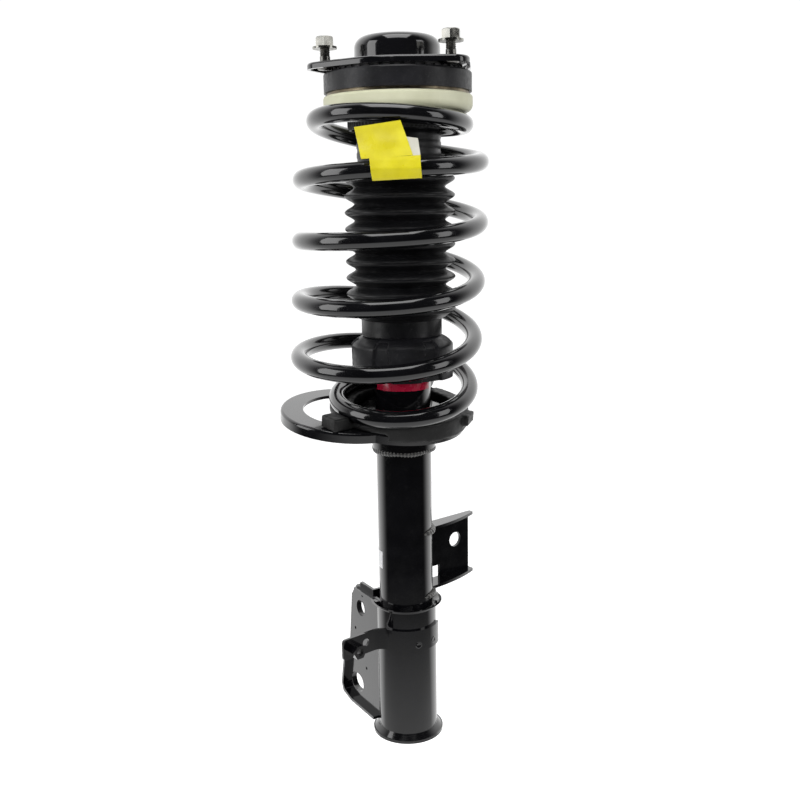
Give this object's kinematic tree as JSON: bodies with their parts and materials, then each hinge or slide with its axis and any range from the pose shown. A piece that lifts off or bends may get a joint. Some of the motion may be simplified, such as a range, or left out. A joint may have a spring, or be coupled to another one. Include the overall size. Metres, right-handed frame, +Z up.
{
  "type": "suspension strut assembly",
  "caption": "Coil-over suspension strut with stud-mounted top bearing, coil spring, dust boot, spring seat with guard, stabiliser tab and clevis bracket for the knuckle.",
  "frame": {"origin": "on the strut's axis at the upper face of the top plate, the plane the body panel rests on", "axes": "+Z up along the strut's axis, -X the way the knuckle bracket's ears reach, Y along the knuckle bolts"},
  "size_m": [0.1639, 0.1713, 0.5839],
  "materials": {
    "black_paint": "gloss",
    "black_steel": "satin",
    "stud_steel": "satin",
    "zinc": "gloss",
    "steel": "satin",
    "rubber": "matte",
    "boot_rubber": "matte",
    "foam": "matte",
    "black_plastic": "matte",
    "cream_plastic": "satin",
    "race_steel": "satin",
    "chrome_steel": "gloss",
    "cage_plastic": "matte",
    "weld": "satin",
    "red_label": "gloss",
    "white_label": "satin",
    "yellow_tape": "gloss"
  },
  "bodies": {
    "mount": {"mount_plate": "black_paint", "mount_can": "black_paint", "mount_studs": "stud_steel", "stud_nuts": "zinc", "clamp_ring": "black_steel", "mount_lower_shell": "black_steel", "mount_rubber": "rubber", "mount_sleeve": "steel", "upper_washer": "steel", "lower_washer": "steel", "rod_nut": "zinc", "bearing_upper_ring": "black_plastic", "upper_race": "race_steel", "bump_stop": "foam", "bump_stop_cup": "steel", "piston_rod": "chrome_steel", "piston": "steel", "piston_band": "cage_plastic", "piston_nut": "steel", "rebound_stop": "rubber"},
    "bearing_cage": {"bearing_balls": "chrome_steel", "ball_cage": "cage_plastic"},
    "swivel": {"lower_race": "race_steel", "bearing_lower_ring": "cream_plastic", "upper_isolator": "rubber", "coil_spring": "black_paint", "dust_boot": "boot_rubber", "tape_tag": "yellow_tape"},
    "damper": {"boot_cup": "black_plastic", "rod_guide": "steel", "rod_seal": "rubber", "closing_cap": "steel", "inner_tube": "steel", "base_valve": "steel", "outer_tube": "black_paint", "tube_end_cap": "black_paint", "lower_spring_seat": "black_paint", "lower_isolator": "rubber", "seat_weld": "weld", "stabiliser_bracket": "black_paint", "stabiliser_welds": "weld", "knuckle_bracket": "black_paint", "knuckle_liner": "black_paint", "hose_bracket": "black_paint", "hose_weld_nut": "black_paint", "body_label": "red_label", "small_label": "white_label"}
  },
  "joints": [
    {"name": "steer_cage", "type": "hinge", "parent": "mount", "child": "bearing_cage", "pos_m": [0, 0, -0.0227], "axis": [0, 0, 1], "range_deg": [-22.5, 22.5]},
    {"name": "steer_swivel", "type": "hinge", "parent": "mount", "child": "swivel", "pos_m": [0, 0, -0.0267], "axis": [0, 0, 1], "range_deg": [-45, 45]},
    {"name": "stroke", "type": "slide", "parent": "swivel", "child": "damper", "axis": [0, 0, 1], "range_m": [0, 0.085], "deforming": ["coil_spring", "dust_boot", "tape_tag"]}
  ],
  "couplings": [
    {"joint": "steer_cage", "follows": "steer_swivel", "ratio": 0.5}
  ]
}
